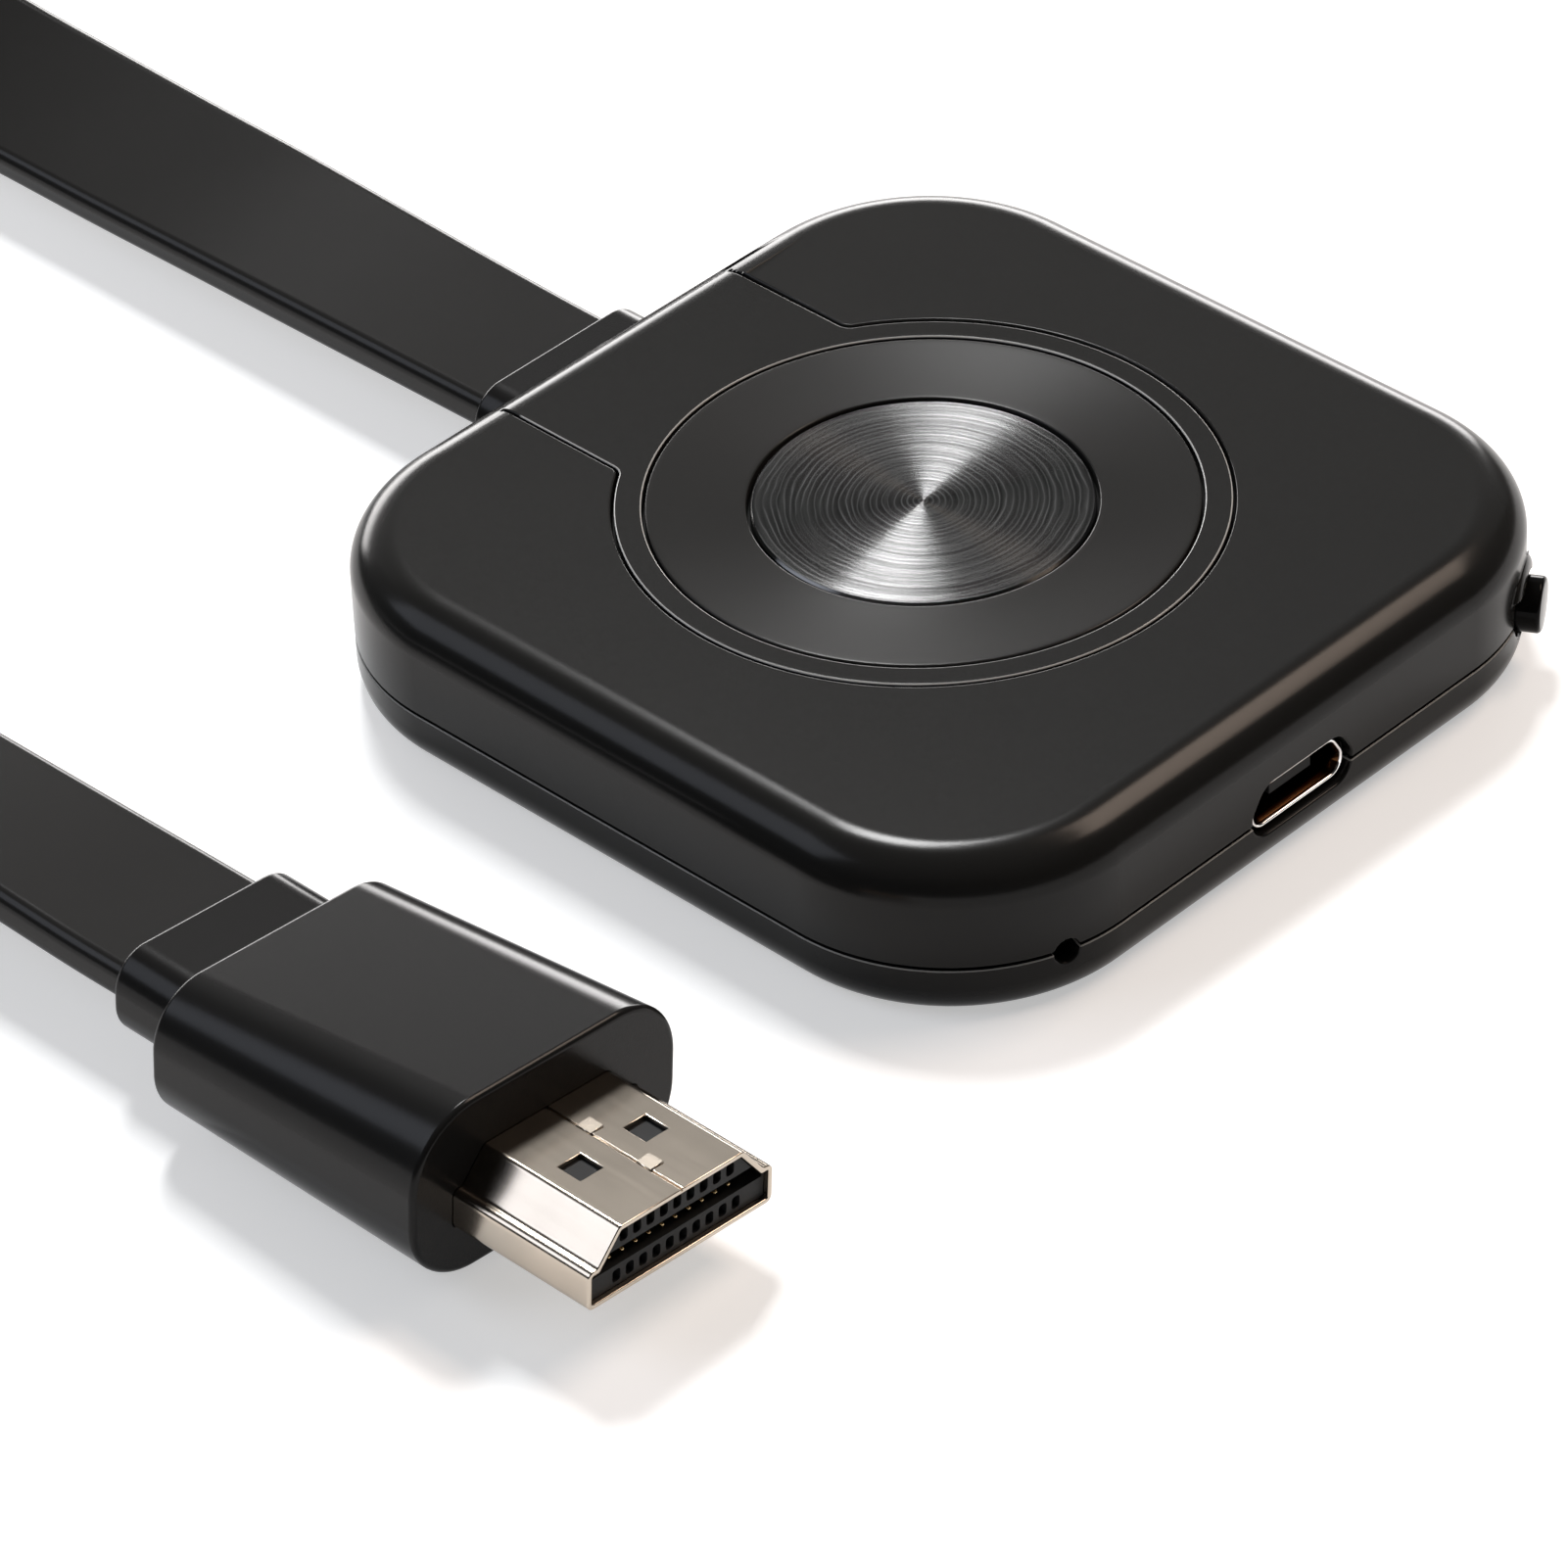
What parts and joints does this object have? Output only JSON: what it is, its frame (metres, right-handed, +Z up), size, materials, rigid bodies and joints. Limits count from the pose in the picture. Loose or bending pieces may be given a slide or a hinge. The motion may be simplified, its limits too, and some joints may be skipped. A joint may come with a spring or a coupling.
{
  "type": "wireless video dongle",
  "caption": "Flat square wireless display adapter with a round metal inlay, a power port, a mode button and a flat tethered cable ending in a video plug.",
  "frame": {"origin": "centre of the housing's underside, on the table", "axes": "+Z up through the round inlay, +Y towards the cable's exit, -Y towards the power port; the button's axis is horizontal, 60 degrees from +X towards -Y"},
  "size_m": [0.0895, 0.156, 0.012],
  "materials": {
    "housing_plastic": "satin moulded",
    "inlay_plastic": "satin moulded",
    "dish_plastic": "fine satin",
    "spun_metal": "spun in circles",
    "button_plastic": "polished",
    "switch_plastic": "moulded",
    "switch_pin_plastic": "moulded",
    "board_laminate": "solder mask",
    "chip_plastic": "moulded",
    "pad_silicone": "soft",
    "sink_metal": "extruded",
    "can_metal": "tinned sheet",
    "ferrite": "sintered",
    "capacitor_ceramic": "sintered",
    "led_resin": "clear cast",
    "antenna_ceramic": "sintered",
    "port_steel": "nickel plated",
    "connector_plastic": "moulded",
    "gilt_contact": "gold plated",
    "cable_copper": "enamelled",
    "cable_jacket": "satin extruded",
    "moulded_grip": "satin moulded",
    "plug_nickel": "satin nickel plated"
  },
  "bodies": {
    "housing": {"bottom_cover": "housing_plastic", "top_cover": "housing_plastic", "keyhole_panel": "inlay_plastic", "dish_ring": "dish_plastic", "metal_disc": "spun_metal", "switch_body": "switch_plastic", "main_board": "board_laminate", "main_chip": "chip_plastic", "thermal_pad": "pad_silicone", "heat_sink": "sink_metal", "memory_chip": "chip_plastic", "flash_chip": "chip_plastic", "shield_can": "can_metal", "crystal": "can_metal", "inductors": "ferrite", "capacitors": "capacitor_ceramic", "status_led": "led_resin", "chip_antenna": "antenna_ceramic", "port_shell": "port_steel", "port_tongue": "connector_plastic", "port_contacts": "gilt_contact", "cable_gland": "moulded_grip", "cable_leads": "cable_copper", "flat_cable": "cable_jacket", "plug_neck": "moulded_grip", "plug_body": "moulded_grip", "plug_shell": "plug_nickel", "plug_insulator": "connector_plastic", "plug_contacts": "gilt_contact"},
    "mode_button": {"mode_button": "button_plastic", "switch_plunger": "switch_pin_plastic"}
  },
  "joints": [
    {"name": "mode_button_press", "type": "slide", "parent": "housing", "child": "mode_button", "axis": [-0.5, 0.866, 0], "range_m": [0, 0.0004], "stiffness_N_per_m": 4000}
  ]
}
